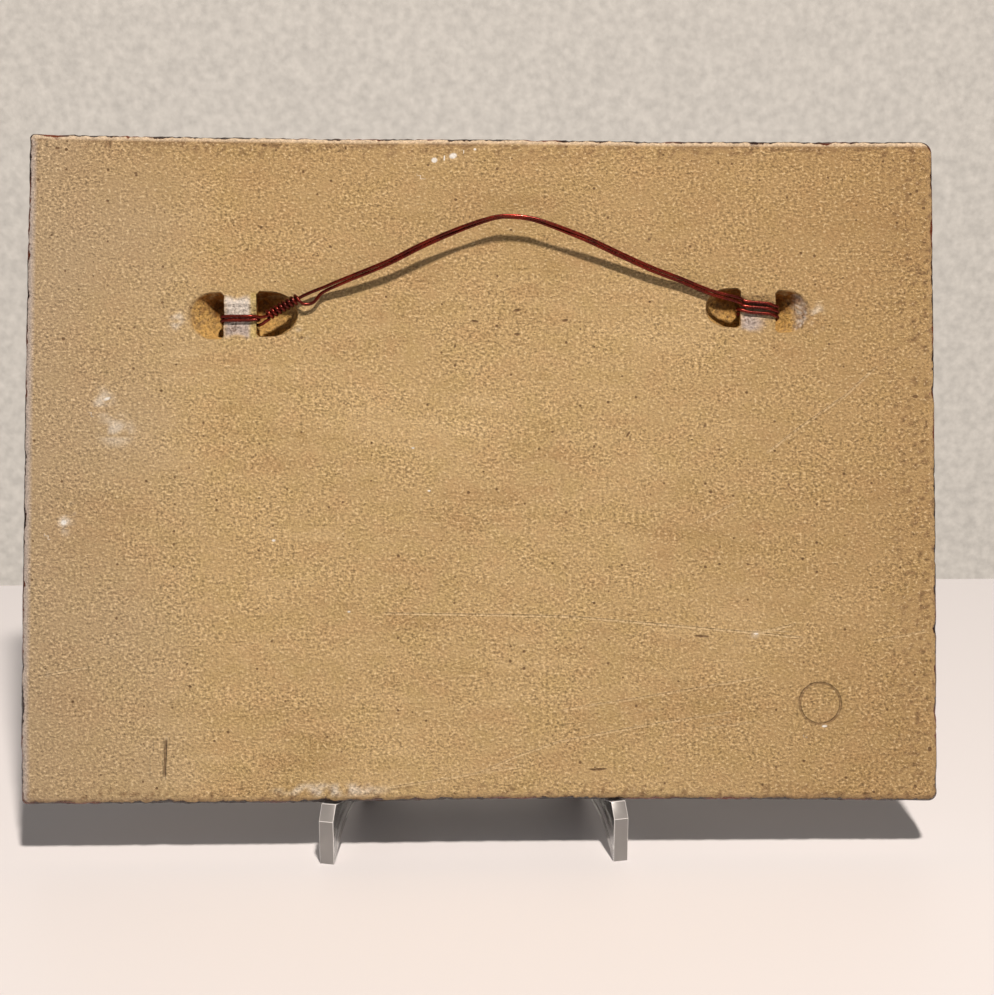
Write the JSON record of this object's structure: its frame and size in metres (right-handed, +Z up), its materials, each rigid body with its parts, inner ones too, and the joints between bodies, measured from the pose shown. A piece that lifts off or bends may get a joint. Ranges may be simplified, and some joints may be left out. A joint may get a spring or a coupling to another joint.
{
  "type": "stoneware wall plaque on an acrylic easel",
  "caption": "Rectangular stoneware slab plaque with scooped notches and a copper hanging wire on its unglazed back, resting in a clear acrylic easel.",
  "frame": {"origin": "on the ground, in the middle of the whole object's box", "axes": "+X along the slab's long side, to the right as seen from its back; the unglazed back with the wire faces -Y and leans away towards +Y at the top; +Z up"},
  "size_m": [0.2828, 0.081, 0.2145],
  "materials": {
    "stoneware": "unglazed buff grogged clay on the back, dark iron glaze on the front and wrapping onto the sides",
    "copper_wire": "dark red-brown enamelled copper, half gloss",
    "clear_acrylic": "clear cast acrylic sheet with polished edges"
  },
  "bodies": {
    "root": {"plaque_slab": "stoneware", "hanging_wire": "copper_wire", "easel_side_left": "clear_acrylic", "easel_side_right": "clear_acrylic", "easel_cross_bar": "clear_acrylic"}
  },
  "joints": []
}
